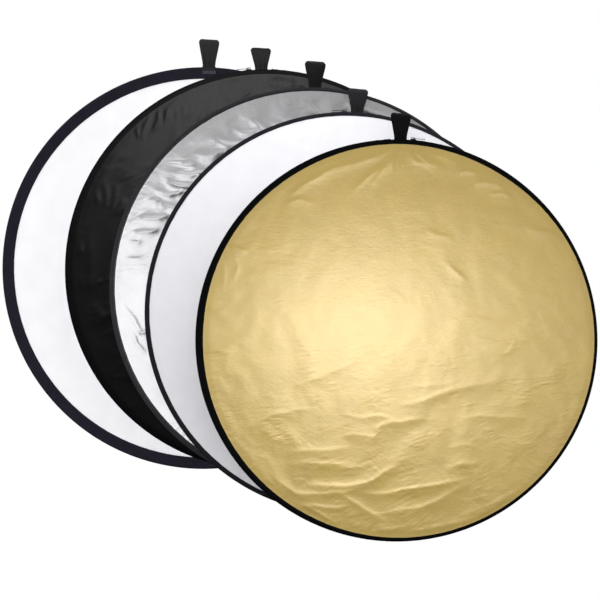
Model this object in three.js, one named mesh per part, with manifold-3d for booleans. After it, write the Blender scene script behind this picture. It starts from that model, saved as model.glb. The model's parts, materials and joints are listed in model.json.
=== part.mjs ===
// Fan of five collapsible studio reflector discs, 80 cm nominal.
//
// One disc is a bare diffuser: a closed spring steel hoop inside a folded edge
// binding, with a translucent sheet sewn into the binding and a webbing hanging
// loop sewn over the rim. The other four are the same core inside a reversible
// zip cover: a front and a back sheet, each with its own rim tape, closed round
// the edge by a coil zip. The loop comes out between the two ends of the zip.
//
// Frame: millimetres, +Z up, discs stand parallel to XZ, face -Y and are stacked
// towards +Y. The origin is the centre of the outer side of the gold front sheet.
// Each disc is drawn about its own centre, with its axis along Y and its loop at +Z.
import * as THREE from "three";
import { mergeVertices } from "three/addons/utils/BufferGeometryUtils.js";
import Module from "manifold-3d";

const { degToRad } = THREE.MathUtils;

// ---------------------------------------------------------------- set
const SEGMENTS = 40; // facets of every round part, all in step
const PITCH = 40; // between neighbouring discs, along Y
const SHEET_T = 0.4; // thickness of every fabric sheet

// The discs from front to back. The front fabric has the disc's name.
//   back        fabric of the back sheet; a disc without one is bare
//   x, z        offset of the centre from the gold disc's
//   roll        about the disc's own axis, degrees, clockwise from the front
//   side        side of the loop the slider rests on, 1 for +X, -1 for -X
//   loopHeight  height of the hanging loop
//   tapeWidth   width of the rim tape
//   setX, setZ  how far the opening in the tape is off centre
const DISCS = [
  { name: "gold", back: "silver", x: 0, z: 0, roll: 1.15,
    side: 1, loopHeight: 49, tapeWidth: 11, setX: 4, setZ: 1 },
  { name: "white", back: "black", x: -101, z: 54.5, roll: 3.3,
    side: -1, loopHeight: 44, tapeWidth: 9, setX: 1.5, setZ: 1.5 },
  { name: "silver", back: "gold", x: -171.5, z: 104, roll: 1.4,
    side: -1, loopHeight: 49, tapeWidth: 11, setX: 3, setZ: 3 },
  { name: "black", back: "white", x: -260, z: 140, roll: -1.2,
    side: -1, loopHeight: 40, tapeWidth: 13, setX: 3, setZ: 1 },
  { name: "diffuser", x: -384, z: 144, roll: 1.6, loopHeight: 52 },
];

const FINISHES = {
  steel: { color: 0x8f9296, roughness: 0.35, metalness: 1.0 },
  sleeve: { color: 0xb9b8b2, roughness: 0.4, metalness: 1.0 },
  binding: { color: 0x2c2a33, roughness: 0.85, metalness: 0.0 },
  tape: { color: 0x161616, roughness: 0.8, metalness: 0.0 },
  zip: { color: 0x141414, roughness: 0.6, metalness: 0.0 },
  slider: { color: 0x1b1b1c, roughness: 0.35, metalness: 0.8 },
  webbing: { color: 0x1d1d20, roughness: 0.9, metalness: 0.0 },
  diffusion: { color: 0xfafafa, roughness: 0.9, metalness: 0.0 },
  // cover fabrics
  gold: { color: 0xd2b66c, roughness: 0.45, metalness: 0.8 },
  silver: { color: 0xc9cacc, roughness: 0.45, metalness: 0.8 },
  white: { color: 0xf2f2f6, roughness: 0.45, metalness: 0.0 },
  black: { color: 0x2b2b2d, roughness: 0.45, metalness: 0.0 },
};

// ---------------------------------------------------------------- outlines
// Half an outline, closed by its mirror image in the second coordinate.
const mirrored = (half) => [...half, ...[...half].reverse().map(([a, b]) => [a, -b])];

// Half an outline of [z, y] pairs, mirrored in y and turned into (y, z) for a bar.
const mirroredAcross = (half) => mirrored(half).map(([z, y]) => [y, z]);

function outline(points, hole) {
  const shape = new THREE.Shape(points.map(([a, b]) => new THREE.Vector2(a, b)));
  if (hole) shape.holes.push(outline(hole));
  return shape;
}

// ---------------------------------------------------------------- shapes
// A profile of [radius, y] pairs turned round Y.
const lathe = (profile) =>
  new THREE.LatheGeometry(profile.map(([r, y]) => new THREE.Vector2(r, y)), SEGMENTS);

// The same, with the profile closed into a ring section.
const turned = (profile) => lathe([...profile, profile[0]]);

// A round sheet from y0 to y1. `ring` is the radius of extra vertices on the y0 side.
const sheet = (radius, y0, y1, ring) =>
  lathe([[0, y0], ...(ring ? [[ring, y0]] : []), [radius, y0], [radius, y1], [0, y1]]);

const extruded = (shape, depth) =>
  new THREE.ExtrudeGeometry(shape, { depth, bevelEnabled: false, curveSegments: SEGMENTS / 2 });

// An outline in (x, z), given thickness from y0 to y1.
function slab(shape, y0, y1) {
  const geometry = extruded(shape, y1 - y0);
  geometry.rotateX(Math.PI / 2);
  geometry.translate(0, y1, 0);
  return geometry;
}

// An outline in (y, z), drawn out along X by `half` each way.
function bar(shape, half) {
  const geometry = extruded(shape, 2 * half);
  const position = geometry.attributes.position;
  for (let i = 0; i < position.count; i++) {
    const [y, z, along] = [position.getX(i), position.getY(i), position.getZ(i)];
    position.setXYZ(i, along - half, y, z);
  }
  return geometry;
}

// A box standing on the rim, its middle at height z.
function rimBox([width, depth, height], z) {
  const geometry = new THREE.BoxGeometry(width, depth, height);
  geometry.translate(0, 0, z);
  return geometry;
}

// ---------------------------------------------------------------- solids
const wasm = await Module();
wasm.setup();

// Only positions are kept, so that vertices shared by faces merge into a closed solid.
function solid(geometry) {
  geometry.deleteAttribute("normal");
  geometry.deleteAttribute("uv");
  const merged = mergeVertices(geometry, 1e-4);
  return new wasm.Manifold(
    new wasm.Mesh({
      numProp: 3,
      vertProperties: new Float32Array(merged.attributes.position.array),
      triVerts: new Uint32Array(merged.index.array),
    }),
  );
}

function geometryOf(body) {
  const mesh = body.getMesh();
  const geometry = new THREE.BufferGeometry();
  const vertices = new Float32Array(mesh.vertProperties);
  geometry.setAttribute("position", new THREE.BufferAttribute(vertices, 3));
  geometry.setIndex(new THREE.BufferAttribute(new Uint32Array(mesh.triVerts), 1));
  geometry.computeVertexNormals();
  return geometry;
}

// ---------------------------------------------------------------- core
const CORE_R = 395.2; // outside of a covered core
const BARE_R = 400; // outside of the bare diffuser

const HOOP_INSET = 2.5; // from the core's outside to the hoop's
const HOOP_T = 0.9; // spring steel band, radially
const HOOP_HALF = 3.0; // half the band's width, along the axis

const SLEEVE_HALF_L = 13;
// The sleeve's section: radial margin over the band, and half width along the axis.
const SLEEVE_OUTSIDE = { margin: 0.75, half: 3.8 };
const SLEEVE_INSIDE = { margin: 0.3, half: 3.3 };

const CORE_SHEET_INSET = 7;

const BIND_W = 23; // edge binding, folded width
const BIND_T = 0.8;
const BIND_HALF = 5.7; // half thickness of the binding over the hoop
const BIND_LAND = 6.5; // width of the flat over the hoop
const BIND_LIP = 0.7; // half gap between the binding's two inner edges

function hoop(coreR) {
  const outside = coreR - HOOP_INSET;
  return turned(mirrored([[outside - HOOP_T, -HOOP_HALF], [outside, -HOOP_HALF]]));
}

// Crimped sleeve over the joint in the hoop, at the bottom, in the middle of a facet.
function hoopSleeve(coreR) {
  const halfFacet = Math.PI / SEGMENTS;
  const outside = (coreR - HOOP_INSET) * Math.cos(halfFacet);
  const inside = outside - HOOP_T * Math.cos(halfFacet);
  const box = ({ margin, half }) => [
    [-half, inside - margin],
    [half, inside - margin],
    [half, outside + margin],
    [-half, outside + margin],
  ];
  const geometry = bar(outline(box(SLEEVE_OUTSIDE), box(SLEEVE_INSIDE)), SLEEVE_HALF_L);
  geometry.rotateY(Math.PI + halfFacet);
  return geometry;
}

const coreSheet = (coreR) => sheet(coreR - CORE_SHEET_INSET, -SHEET_T / 2, SHEET_T / 2);

// Folded tape: flat over the hoop, then tapering to its inner edges.
const binding = (coreR) =>
  turned([
    // outside of the fold
    ...mirrored([
      [coreR - BIND_W, -BIND_LIP - BIND_T],
      [coreR - BIND_LAND, -BIND_HALF],
      [coreR, -BIND_HALF],
    ]),
    // inside of the fold
    ...mirrored([
      [coreR - BIND_W, BIND_LIP],
      [coreR - BIND_LAND, BIND_HALF - BIND_T],
      [coreR - BIND_T, BIND_HALF - BIND_T],
    ]),
  ]);

// ---------------------------------------------------------------- cover
const COVER_HALF = 8.0; // half thickness of a covered disc
const FACE_R = 395;
const FRONT_RING_R = 200; // extra ring of vertices in the front sheet
const TAPE_T = 0.8;
const TAPE_R = 398.4;

const ZIP_IN = 396.4; // inside and outside radius of the zip's tape
const ZIP_TAPE = 397.2;
const ZIP_TOP = 399.4; // outside radius of the coil
const ZIP_HALF = 6.9; // half width of the zip; the sheets lie flush with its edges
const COIL_HALF = 2.0;
const ZIP_GAP = degToRad(2.6); // half the gap the loop comes through
const GAP_WEDGE = { apex: 200, reach: 450, half: 12 }; // cuts the gap

const STOP_SIZE = [6, 6.4, 4.2]; // x, y, z
const STOP_LIFT = 1.4; // of the stop's middle above the zip's tape
const STOP_OFFSET = 0.011; // radians past the end of the zip

const frontFace = () => sheet(FACE_R, -ZIP_HALF, -ZIP_HALF + SHEET_T, FRONT_RING_R);
const backFace = () => sheet(FACE_R, ZIP_HALF - SHEET_T, ZIP_HALF);

function rimTape({ tapeWidth, setX, setZ }, y0, y1) {
  const shape = new THREE.Shape();
  shape.absarc(0, 0, TAPE_R, 0, Math.PI * 2, false);
  const opening = new THREE.Path();
  opening.absarc(setX, setZ, TAPE_R - tapeWidth, 0, Math.PI * 2, true);
  shape.holes.push(opening);
  return slab(shape, y0, y1);
}

// Tape and coil, with a gap at the top and an end stop on the side away from the slider.
function zip(side) {
  const ring = turned(
    mirrored([
      [ZIP_IN, -ZIP_HALF],
      [ZIP_TAPE, -ZIP_HALF],
      [ZIP_TAPE, -COIL_HALF],
      [ZIP_TOP, -COIL_HALF],
    ]),
  );
  const { apex, reach, half } = GAP_WEDGE;
  const cornerX = reach * Math.sin(ZIP_GAP);
  const cornerZ = reach * Math.cos(ZIP_GAP);
  const wedge = slab(outline([[0, apex], [cornerX, cornerZ], [-cornerX, cornerZ]]), -half, half);
  const stop = rimBox(STOP_SIZE, ZIP_TAPE + STOP_LIFT);
  stop.rotateY(-side * (ZIP_GAP + STOP_OFFSET));
  return geometryOf(solid(ring).subtract(solid(wedge)).add(solid(stop)));
}

// ---------------------------------------------------------------- slider
const SLIDER_AT = degToRad(3.6); // from the loop, along the rim
const SLIDER_L = 11;
const ARCH_HALF_W = 0.9; // across the rim

// Channels open towards the disc's centre: half widths outside, inside and across
// the chamfered top, then heights from the disc's centre.
const BODY = {
  outer: 3.4, inner: 2.5, crown: 2.9,
  foot: 397.7, ceiling: 399.95, shoulder: 400.9, top: 401.2,
};
const ARCH = {
  outer: 4.2, inner: 3.3, crown: 3.6,
  foot: 400.8, ceiling: 403.6, shoulder: 404.1, top: 404.6,
};

const PULL_AXIS = 402.4; // height of the pull's mid plane
const PULL_L = 24;
const PULL_T = 1.2;
// [distance along the rim from the pivot, -half width]
const PULL_EDGE = [
  [-0.6, -2.6], [6.6, -2.6], [8.6, -1.9],
  [PULL_L - 5, -2.9], [PULL_L - 1.5, -2.6], [PULL_L, -1.2],
];
const PULL_WINDOW = [[0.6, -1.6], [5.4, -1.6]];

const channel = ({ outer, inner, crown, foot, ceiling, shoulder, top }) =>
  outline([
    [-outer, foot], [-inner, foot], [-inner, ceiling],
    [inner, ceiling], [inner, foot], [outer, foot],
    [outer, shoulder], [crown, top], [-crown, top], [-outer, shoulder],
  ]);

// Body over the coil, with an arch on top that spans along the rim.
function sliderBody() {
  const body = bar(channel(BODY), SLIDER_L / 2);
  const arch = slab(channel(ARCH), -ARCH_HALF_W, ARCH_HALF_W);
  return geometryOf(solid(body).add(solid(arch)));
}

// Flat pull, lying along the rim away from the loop; one leg of the arch is in its window.
function pull(side) {
  const geometry = extruded(outline(mirrored(PULL_EDGE), mirrored(PULL_WINDOW)), PULL_T);
  geometry.translate(0, 0, -PULL_T / 2);
  if (side < 0) geometry.rotateZ(Math.PI);
  return geometry;
}

// ---------------------------------------------------------------- hanging loop
const LOOP_AXIS = 402.0; // foot of the loop above a covered rim
const BARE_LOOP_AXIS = 403.4;
const LOOP_H = 50; // height the loop's tables are drawn at

// [height, half depth] of the webbing's outside and inside
const LOOP_OUT = [
  [1.0, 1.6], [8, 3.2], [20, 5.2], [32, 6.5],
  [41, 7.0], [46, 6.3], [49, 4.4], [50, 2.4],
];
const LOOP_IN = [
  [7, 0.9], [20, 3.7], [32, 5.0], [40.6, 5.5],
  [45, 4.9], [47.6, 3.5], [48.5, 2.0],
];
// [height, half width]
const LOOP_HALF = [
  [0, 12.5], [8, 12.9], [20, 15.4], [32, 18.0],
  [42, 19.8], [46.6, 19.8], [49, 18.8], [50, 17.2],
];

const TAB_SIZE = [25, 3, 4.4]; // x, y, z
const TAB_Z = 397.9;
const SADDLE_HALF_L = 14;
// [height from the disc's centre, y] down the outside and up the inside of one side
const SADDLE = [
  [401.6, -7.0], [392.6, -7.0], [386.4, -5.5],
  [386.4, -4.3], [393.0, -6.05], [400.5, -6.05],
];

// Half width at height z, which lies within the table.
function loopHalfWidth(z) {
  const next = LOOP_HALF.findIndex(([height]) => z <= height);
  const [z0, half0] = LOOP_HALF[next - 1];
  const [z1, half1] = LOOP_HALF[next];
  return half0 + ((half1 - half0) * (z - z0)) / (z1 - z0);
}

// Drawn with half width 1, then widened by height and scaled to its own height.
function loop(height) {
  const geometry = bar(outline(mirroredAcross(LOOP_OUT), mirroredAcross(LOOP_IN)), 1);
  const position = geometry.attributes.position;
  for (let i = 0; i < position.count; i++) {
    const z = position.getZ(i);
    position.setX(i, position.getX(i) * loopHalfWidth(z));
    position.setZ(i, (z * height) / LOOP_H);
  }
  return geometry;
}

// Sewn end of the webbing: a plain tab in the gap of a cover, or a saddle over
// the binding of the bare diffuser.
const coveredTab = () => rimBox(TAB_SIZE, TAB_Z);
const bareTab = () => bar(outline(mirroredAcross(SADDLE)), SADDLE_HALF_L);

// ---------------------------------------------------------------- assembly
function addGroup(parent, z = 0) {
  const group = new THREE.Group();
  group.position.z = z;
  parent.add(group);
  return group;
}

function addDisc(parent, spec, index) {
  const { name, back, side } = spec;
  const disc = addGroup(parent);
  disc.position.set(spec.x, ZIP_HALF + index * PITCH, spec.z);
  disc.rotation.y = degToRad(spec.roll);

  const add = (group, part, geometry, finish) => {
    const mesh = new THREE.Mesh(geometry, new THREE.MeshStandardMaterial(FINISHES[finish]));
    mesh.name = `${name}_${part}`;
    group.add(mesh);
  };

  const bare = !back;
  const coreR = bare ? BARE_R : CORE_R;
  add(disc, "hoop", hoop(coreR), "steel");
  add(disc, "hoop_sleeve", hoopSleeve(coreR), "sleeve");
  add(disc, "core_sheet", coreSheet(coreR), "diffusion");
  add(disc, "core_binding", binding(coreR), "binding");

  const loopGroup = addGroup(disc, bare ? BARE_LOOP_AXIS : LOOP_AXIS);
  add(loopGroup, "loop", loop(spec.loopHeight), "webbing");
  add(disc, "loop_tab", bare ? bareTab() : coveredTab(), "webbing");
  if (bare) return;

  add(disc, "front_face", frontFace(), name);
  add(disc, "back_face", backFace(), back);
  add(disc, "front_rim_tape", rimTape(spec, -COVER_HALF, -COVER_HALF + TAPE_T), "tape");
  add(disc, "back_rim_tape", rimTape(spec, COVER_HALF - TAPE_T, COVER_HALF), "tape");
  add(disc, "zip", zip(side), "zip");

  const sliderGroup = addGroup(disc);
  sliderGroup.rotation.y = side * SLIDER_AT;
  add(sliderGroup, "zip_slider", sliderBody(), "slider");
  add(addGroup(sliderGroup, PULL_AXIS), "zip_pull", pull(side), "slider");
}

const reflectors = new THREE.Group();
DISCS.forEach((spec, index) => addDisc(reflectors, spec, index));

export default reflectors;
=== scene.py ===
"""Five round fabric discs in a row: gold, white, silver and black zip-on covers and a bare diffuser.

The discs stand upright across x and face -y, each with a webbing loop on its rim. World units are
metres with +Z up; each disc is modelled in mm in its own frame: x across, y along its axis
(front at -y), z towards its loop.
"""
import json
import math
from functools import lru_cache

import bmesh
import bpy
import numpy as np
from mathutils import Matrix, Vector

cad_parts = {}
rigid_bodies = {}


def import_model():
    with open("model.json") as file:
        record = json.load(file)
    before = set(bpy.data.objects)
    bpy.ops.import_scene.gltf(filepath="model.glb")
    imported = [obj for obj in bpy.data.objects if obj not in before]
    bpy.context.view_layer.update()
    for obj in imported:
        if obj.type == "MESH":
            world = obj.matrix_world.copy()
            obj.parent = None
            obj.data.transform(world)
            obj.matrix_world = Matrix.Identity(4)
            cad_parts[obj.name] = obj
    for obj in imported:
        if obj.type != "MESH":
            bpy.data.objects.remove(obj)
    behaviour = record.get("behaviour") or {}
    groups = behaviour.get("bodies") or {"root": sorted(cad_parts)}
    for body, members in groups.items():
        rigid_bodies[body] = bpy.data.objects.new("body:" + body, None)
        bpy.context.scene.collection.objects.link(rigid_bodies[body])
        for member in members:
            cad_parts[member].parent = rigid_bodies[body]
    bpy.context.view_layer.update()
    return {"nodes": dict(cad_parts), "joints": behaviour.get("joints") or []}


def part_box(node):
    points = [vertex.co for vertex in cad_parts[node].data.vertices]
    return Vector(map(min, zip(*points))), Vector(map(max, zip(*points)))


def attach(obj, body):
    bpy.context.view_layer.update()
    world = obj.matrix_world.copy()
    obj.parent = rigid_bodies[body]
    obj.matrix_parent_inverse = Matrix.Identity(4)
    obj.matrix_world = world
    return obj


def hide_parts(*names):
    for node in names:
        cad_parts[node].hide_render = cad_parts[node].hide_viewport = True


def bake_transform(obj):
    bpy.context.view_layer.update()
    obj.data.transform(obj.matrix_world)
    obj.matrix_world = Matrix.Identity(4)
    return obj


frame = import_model()
NODES = frame["nodes"]
JOINTS = {joint["name"]: joint for joint in frame["joints"]}
MM = 0.001

# ------------------------------------------------------------------ driving sizes (mm)
RIM = 399.4                # outer radius of the rim tapes
COVER_RADIUS = 395.0       # cover cloths
COVER_Y = 6.75             # half depth of a cover at its sewn edge
CORE_RADIUS = 388.0        # silk inside a cover
SILK_RADIUS = 391.0        # silk of the bare diffuser
BINDING_INNER = 377.0      # inner edge of the diffuser's binding
CLOTH_HALF = 392.0         # half width of the simulated sheet
CLOTH_FRAMES = 12
ZIP_GAP = math.radians(2.6)    # half the opening of the zip at the loop

# Noise seed and loop of each disc: strap material (the darker copy paints shade on the gold and
# black loops), twist in degrees, tilt of the top edge and sideways lean in mm. A covered disc adds
# its back cloth, rim tape and front grid cells.
LOOKS = {
    "gold": dict(seed=3, strap="strap_dark", twist=2, tilt=1.4, lean=0.0,
                 back="silver", tape="tape_black", cells=300),
    "white": dict(seed=14, strap="strap", twist=-3, tilt=0.6, lean=-0.6,
                  back="black", tape="tape_navy", cells=120),
    "silver": dict(seed=25, strap="strap", twist=-13, tilt=0.8, lean=-0.4,
                   back="gold", tape="tape_grey", cells=300),
    "black": dict(seed=36, strap="strap_dark", twist=2, tilt=1.2, lean=-0.2,
                  back="white", tape="tape_black", cells=180),
    "diffuser": dict(seed=47, strap="strap", twist=2, tilt=0.6, lean=-1.0, back=None),
}


def collection(name):
    made = bpy.data.collections.new(name)
    bpy.context.scene.collection.children.link(made)
    return made


class Disc:
    """The local frame, collection and look of one disc."""

    def __init__(self, name, look):
        self.name = name
        self.body = f"{name}_disc"
        low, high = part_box(f"{name}_core_sheet")
        self.center = np.array((low + high) / 2)
        swing = JOINTS[f"{name}_loop_swing"]
        axis = swing["axis"]
        self.across = np.array([axis[0], 0.0, axis[2]])
        self.depth = np.array([0.0, 1.0, 0.0])
        self.loopward = np.array([-axis[2], 0.0, axis[0]])
        self.pivot = np.array(swing["pos_m"])
        self.pivot_radius = float(np.dot(self.pivot - self.center, self.loopward)) / MM
        vars(self).update(look)

    def world(self, points):
        x, y, z = np.hsplit(np.asarray(points, float) * MM, 3)
        return self.center + x * self.across + y * self.depth + z * self.loopward


DISCS = {name: Disc(name, look) for name, look in LOOKS.items()}
for disc in DISCS.values():
    disc.pieces = collection(f"{disc.name}_set")
STRAPS = collection("straps")


def store_own(mesh, points):
    """Stores disc-frame coordinates (m), so that a pattern stays with its piece."""
    own = mesh.attributes.new("own", "FLOAT_VECTOR", "POINT")
    own.data.foreach_set("vector", points.astype(np.float32).ravel())


def make(name, disc, points, faces, material, slot, replaces=None, ride=True, outward=True):
    """A smooth mesh piece from points in the disc's frame (mm), placed in the row (m)."""
    mesh = bpy.data.meshes.new(name)
    mesh.from_pydata([tuple(p) for p in disc.world(points)], [],
                     [tuple(int(i) for i in face) for face in faces])
    mesh.validate()
    if outward:
        bm = bmesh.new()
        bm.from_mesh(mesh)
        bmesh.ops.recalc_face_normals(bm, faces=bm.faces)
        bm.to_mesh(mesh)
        bm.free()
    mesh.polygons.foreach_set("use_smooth", [True] * len(mesh.polygons))
    mesh.materials.append(MATERIALS[material])
    store_own(mesh, np.asarray(points, float) * MM)
    piece = bpy.data.objects.new(name, mesh)
    bpy.context.scene.collection.objects.link(piece)
    disc.pieces.objects.link(piece)
    if ride:
        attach(piece, disc.body)
    if replaces:
        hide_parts(replaces)
    return piece


# ------------------------------------------------------------------ noise and curves
@lru_cache(maxsize=None)
def lattice(seed):
    angle = np.random.default_rng(seed).uniform(0, 2 * np.pi, (256, 256))
    return np.cos(angle), np.sin(angle)


def noise(x, y, seed):
    """Gradient noise, about -0.7 to 0.7, one cell per unit."""
    slope_x, slope_y = lattice(seed)
    cell_x, cell_y = np.floor(x).astype(int), np.floor(y).astype(int)
    x, y = x - cell_x, y - cell_y
    ease_x, ease_y = (t**3 * (t * (t * 6 - 15) + 10) for t in (x, y))

    def corner(i, j):
        at = (cell_x + i) & 255, (cell_y + j) & 255
        return slope_x[at] * (x - i) + slope_y[at] * (y - j)

    first = corner(0, 0) * (1 - ease_x) + corner(1, 0) * ease_x
    second = corner(0, 1) * (1 - ease_x) + corner(1, 1) * ease_x
    return first * (1 - ease_y) + second * ease_y


def layered(x, y, seed, octaves):
    """Noise summed over octaves, each half as high and twice as fine."""
    return sum(0.5**i * noise(x * 2**i + 17.3 * i, y * 2**i - 9.1 * i, seed + i)
               for i in range(octaves))


def rim_noise(angle, rate, row, seed):
    """Noise along the rim, rate cells per radian."""
    return noise(angle * rate, angle * 0 + row, seed)


def smooth(start, end, value):
    """0 at start, 1 at end, eased between them."""
    t = np.clip((value - start) / (end - start), 0, 1)
    return t * t * (3 - 2 * t)


def catmull_rom(a, b, c, d, t):
    """Point at t between b and c, with neighbours a and d."""
    return 0.5 * ((2 * b) + (c - a) * t + (2 * a - 5 * b + 4 * c - d) * t**2
                  + (3 * b - a - 3 * c + d) * t**3)


def curve(points, steps):
    """Catmull-Rom curve through points, with steps points per span."""
    p = np.asarray(points, float)
    p = np.vstack([2 * p[0] - p[1], p, 2 * p[-1] - p[-2]])
    out = [catmull_rom(a, b, c, d, t) for a, b, c, d in zip(p, p[1:], p[2:], p[3:])
           for t in np.linspace(0, 1, steps, endpoint=False)]
    return np.array(out + [p[-2]])


def distances(line):
    """Distance along a line at each of its points."""
    return np.concatenate([[0], np.cumsum(np.hypot(*np.diff(line, axis=0).T))])


# ------------------------------------------------------------------ node trees
def srgb(*channels):
    """Linear colour from 0-255 channels."""
    return tuple(c / 12.92 if c <= 0.04045 else ((c + 0.055) / 1.055) ** 2.4
                 for c in (channel / 255 for channel in channels)) + (1.0,)


def darker(color, factor):
    return tuple(c * factor for c in color[:3]) + (1,)


class Nodes:
    """Short ways to add nodes to a tree. Inputs are values or output sockets."""

    def __init__(self, tree):
        self.tree = tree

    def put(self, socket, value):
        if isinstance(value, bpy.types.NodeSocket):
            self.tree.links.new(value, socket)
        else:
            socket.default_value = value

    def node(self, kind, *inputs, settings={}, **named):
        node = self.tree.nodes.new(kind)
        for key, value in settings.items():
            setattr(node, key, value)
        for i, value in enumerate(inputs):
            self.put(node.inputs[i], value)
        for key, value in named.items():
            self.put(node.inputs[key.replace("_", " ")], value)
        return node

    def math(self, operation, first, second=0.5):
        return self.node("ShaderNodeMath", first, second,
                         settings={"operation": operation}).outputs[0]


class Material(Nodes):
    def __init__(self, name):
        self.material = bpy.data.materials.new(name)
        self.material.use_nodes = True
        super().__init__(self.material.node_tree)
        self.bsdf = self.tree.nodes["Principled BSDF"]

    def own(self, scale=(1, 1, 1)):
        """The piece's own coordinates."""
        source = self.node("ShaderNodeAttribute", settings={"attribute_name": "own"})
        return self.node("ShaderNodeMapping", Scale=scale,
                         Vector=source.outputs["Vector"]).outputs[0]

    def noise(self, vector, scale, detail=2.0, rough=0.5):
        return self.node("ShaderNodeTexNoise", Vector=vector, Scale=scale, Detail=detail,
                         Roughness=rough).outputs["Fac"]

    def wave(self, vector, pitch, axis):
        """Bands of the given pitch (mm)."""
        return self.node("ShaderNodeTexWave", Vector=vector,
                         Scale=2 * math.pi / (pitch * MM) / 20.0,
                         settings={"bands_direction": axis}).outputs["Fac"]

    def weave(self, pitch):
        """Plain weave height, 0 to 1, thread pitch in mm."""
        own = self.own()
        return self.math("MULTIPLY", self.math("ADD", self.wave(own, pitch, "X"),
                                               self.wave(own, pitch, "Z")), 0.5)

    def ramp(self, factor, *stops):
        node = self.node("ShaderNodeValToRGB", factor)
        for element, stop in zip(node.color_ramp.elements, stops):
            element.position, element.color = stop
        return node.outputs[0]

    def spread(self, factor, low, high):
        return self.node("ShaderNodeMapRange", Value=factor, To_Min=low, To_Max=high).outputs[0]

    def bump(self, height, strength, distance, **normal):
        return self.node("ShaderNodeBump", Height=height, Strength=strength, Distance=distance,
                         **normal).outputs[0]

    def finish(self, **inputs):
        for key, value in inputs.items():
            self.put(self.bsdf.inputs[key.replace("_", " ")], value)
        return self.material


# ------------------------------------------------------------------ materials
def coated_fabric(name, base, dark, metallic, rough, ior, coat, coat_ior):
    """Woven nylon under a metal film: fine weave, mottling, crinkles too fine for the mesh."""
    m = Material(name)
    mottle = m.noise(m.own(), scale=14.0, detail=4.0, rough=0.6)
    grain = m.noise(m.own((1, 1, 3.2)), scale=150.0, detail=3.0, rough=0.6)
    tone = m.math("ADD", m.math("MULTIPLY", mottle, 0.75), m.math("MULTIPLY", grain, 0.25))
    line = m.noise(m.own((1, 1, 2.6)), scale=60.0, detail=4.0, rough=0.6)
    off_line = m.math("ABSOLUTE", m.math("SUBTRACT", line, 0.5))
    ridge = m.math("SUBTRACT", 1.0, m.math("MULTIPLY", off_line, 5.0))
    swell = m.noise(m.own((1, 1, 1.8)), scale=26.0, detail=3.0, rough=0.55)
    normal = m.bump(m.weave(0.9), strength=0.10, distance=0.00012)
    normal = m.bump(ridge, strength=0.16, distance=0.0009, Normal=normal)
    normal = m.bump(swell, strength=0.22, distance=0.0020, Normal=normal)
    return m.finish(Base_Color=m.ramp(tone, (0.3, dark), (0.62, base)), Metallic=metallic,
                    Roughness=m.spread(grain, rough - 0.04, rough + 0.06), Normal=normal,
                    IOR=ior, Coat_Weight=coat, Coat_Roughness=rough, Coat_IOR=coat_ior)


def nylon(name, base, dark, rough, sheen, specular, pitch=0.9):
    m = Material(name)
    own = m.own()
    color = m.ramp(m.noise(own, scale=30.0, detail=4.0, rough=0.6), (0.3, dark), (0.7, base))
    normal = m.bump(m.weave(pitch), strength=0.15, distance=0.00015)
    normal = m.bump(m.noise(own, scale=60.0, detail=3.0), strength=0.08, distance=0.0006,
                    Normal=normal)
    return m.finish(Base_Color=color, Normal=normal, Sheen_Weight=sheen,
                    Roughness=m.spread(m.noise(own, scale=220.0), rough - 0.06, rough + 0.06),
                    Specular_IOR_Level=specular)


def webbing(name, base, dark, rough, specular):
    """Ribbed tape with a fine cross thread."""
    m = Material(name)
    rib = m.wave(m.own(), pitch=1.5, axis="X")
    cross = m.wave(m.own(), pitch=0.8, axis="Z")
    fuzz = m.noise(m.own(), scale=400.0, detail=3.0, rough=0.6)
    fine = m.math("ADD", m.math("MULTIPLY", cross, 0.25), m.math("MULTIPLY", fuzz, 0.3))
    height = m.math("ADD", m.math("MULTIPLY", rib, 0.55), fine)
    # the colour follows the rib and thread height: the darker grooves are painted shade, mixed with
    # random tone from the noise
    tone = m.math("MULTIPLY", m.math("ADD", height, m.noise(m.own(), scale=35.0)), 0.55)
    return m.finish(Base_Color=m.ramp(tone, (0.2, dark), (0.8, base)), Roughness=rough,
                    Normal=m.bump(height, strength=0.5, distance=0.0003),
                    Specular_IOR_Level=specular)


def steel(name, color, rough):
    """Metal brushed along its pieces' own x and z."""
    m = Material(name)
    place = m.node("ShaderNodeTexCoord").outputs["Object"]
    stretched = m.node("ShaderNodeMapping", Vector=place, Scale=(1, 60, 1)).outputs[0]
    brushed = m.noise(stretched, scale=30.0, detail=3.0, rough=0.6)
    return m.finish(Base_Color=m.ramp(brushed, (0.3, darker(color, 0.8)), (0.7, color)),
                    Metallic=1.0, Roughness=m.spread(brushed, rough - 0.07, rough + 0.1),
                    Normal=m.bump(brushed, strength=0.1, distance=0.0002))


def plastic(name, color, rough):
    m = Material(name)
    grain = m.noise(m.own(), scale=900.0, detail=3.0, rough=0.6)
    return m.finish(Base_Color=m.ramp(grain, (0.3, darker(color, 0.7)), (0.7, color)),
                    Roughness=m.spread(grain, rough - 0.06, rough + 0.08),
                    Normal=m.bump(grain, strength=0.12, distance=0.0002))


def diffusion(name, passing):
    """White silk; passing is the share of its light that is translucent."""
    m = Material(name)
    color = m.ramp(m.noise(m.own(), scale=25.0, detail=3.0),
                   (0.3, (0.93, 0.93, 0.945, 1)), (0.7, (0.97, 0.97, 0.985, 1)))
    normal = m.bump(m.weave(0.8), strength=0.10, distance=0.00012)
    m.finish(Base_Color=color, Roughness=0.6, Normal=normal, Specular_IOR_Level=0.25)
    through = m.node("ShaderNodeBsdfTranslucent", Color=color, Normal=normal)
    mix = m.node("ShaderNodeMixShader", passing, m.bsdf.outputs[0], through.outputs[0])
    m.put(m.tree.nodes["Material Output"].inputs[0], mix.outputs[0])
    return m.material


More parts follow.
